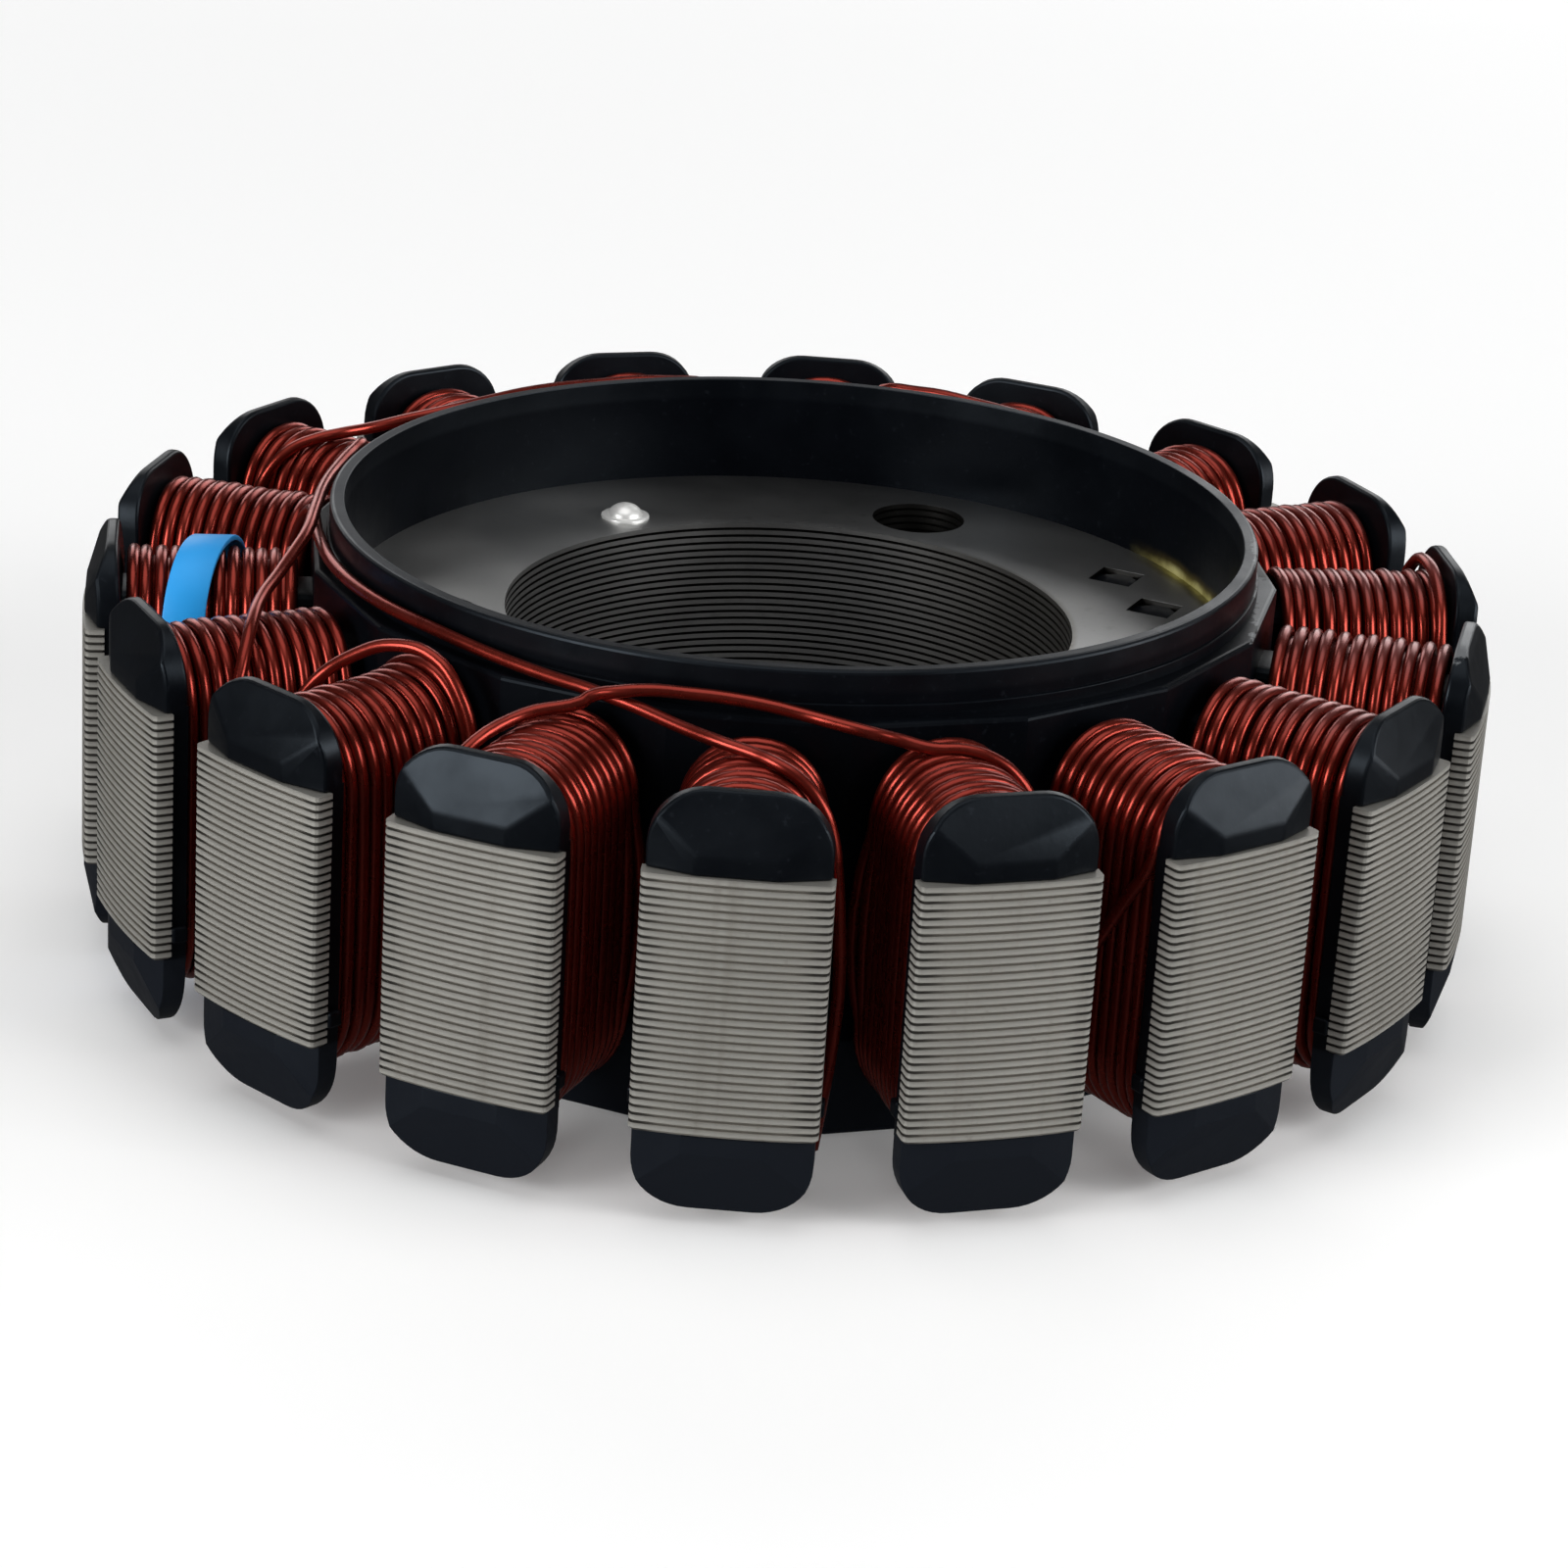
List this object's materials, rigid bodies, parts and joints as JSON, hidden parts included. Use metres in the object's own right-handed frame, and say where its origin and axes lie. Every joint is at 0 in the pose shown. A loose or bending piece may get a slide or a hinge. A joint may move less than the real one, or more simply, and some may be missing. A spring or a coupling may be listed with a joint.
{
  "type": "motorcycle stator",
  "caption": "Wound alternator stator: laminated steel ring with outward poles, black moulded insulator with a raised collar, enamelled copper coils and bolt holes round a central bore.",
  "frame": {"origin": "on the stator axis at the lowest ring face, the centre of the bottom of the box", "axes": "+Z along the axis towards the tall collar; one pole points to -Y"},
  "size_m": [0.1178, 0.118, 0.0382],
  "materials": {
    "sheet_steel": "punched sheet edges, dull",
    "black_moulding": "satin moulded",
    "enamelled_copper": "glossy dark red enamel",
    "blue_plastic": "smooth",
    "bright_steel": "bright"
  },
  "bodies": {
    "root": {"coil_01": "enamelled_copper", "coil_02": "enamelled_copper", "coil_03": "enamelled_copper", "coil_04": "enamelled_copper", "coil_05": "enamelled_copper", "coil_06": "enamelled_copper", "coil_07": "enamelled_copper", "coil_08": "enamelled_copper", "coil_09": "enamelled_copper", "coil_10": "enamelled_copper", "coil_11": "enamelled_copper", "coil_12": "enamelled_copper", "coil_13": "enamelled_copper", "coil_14": "enamelled_copper", "coil_15": "enamelled_copper", "coil_16": "enamelled_copper", "coil_17": "enamelled_copper", "coil_18": "enamelled_copper", "core_stack": "sheet_steel", "crossover_wire_a": "enamelled_copper", "crossover_wire_b": "enamelled_copper", "crossover_wire_c": "enamelled_copper", "crossover_wire_d": "enamelled_copper", "crossover_wire_e": "enamelled_copper", "loose_turn_coil_17": "enamelled_copper", "lower_insulator": "black_moulding", "marker_band": "blue_plastic", "stack_rivet": "bright_steel", "upper_insulator": "black_moulding", "window_plugs": "black_moulding"}
  },
  "joints": []
}
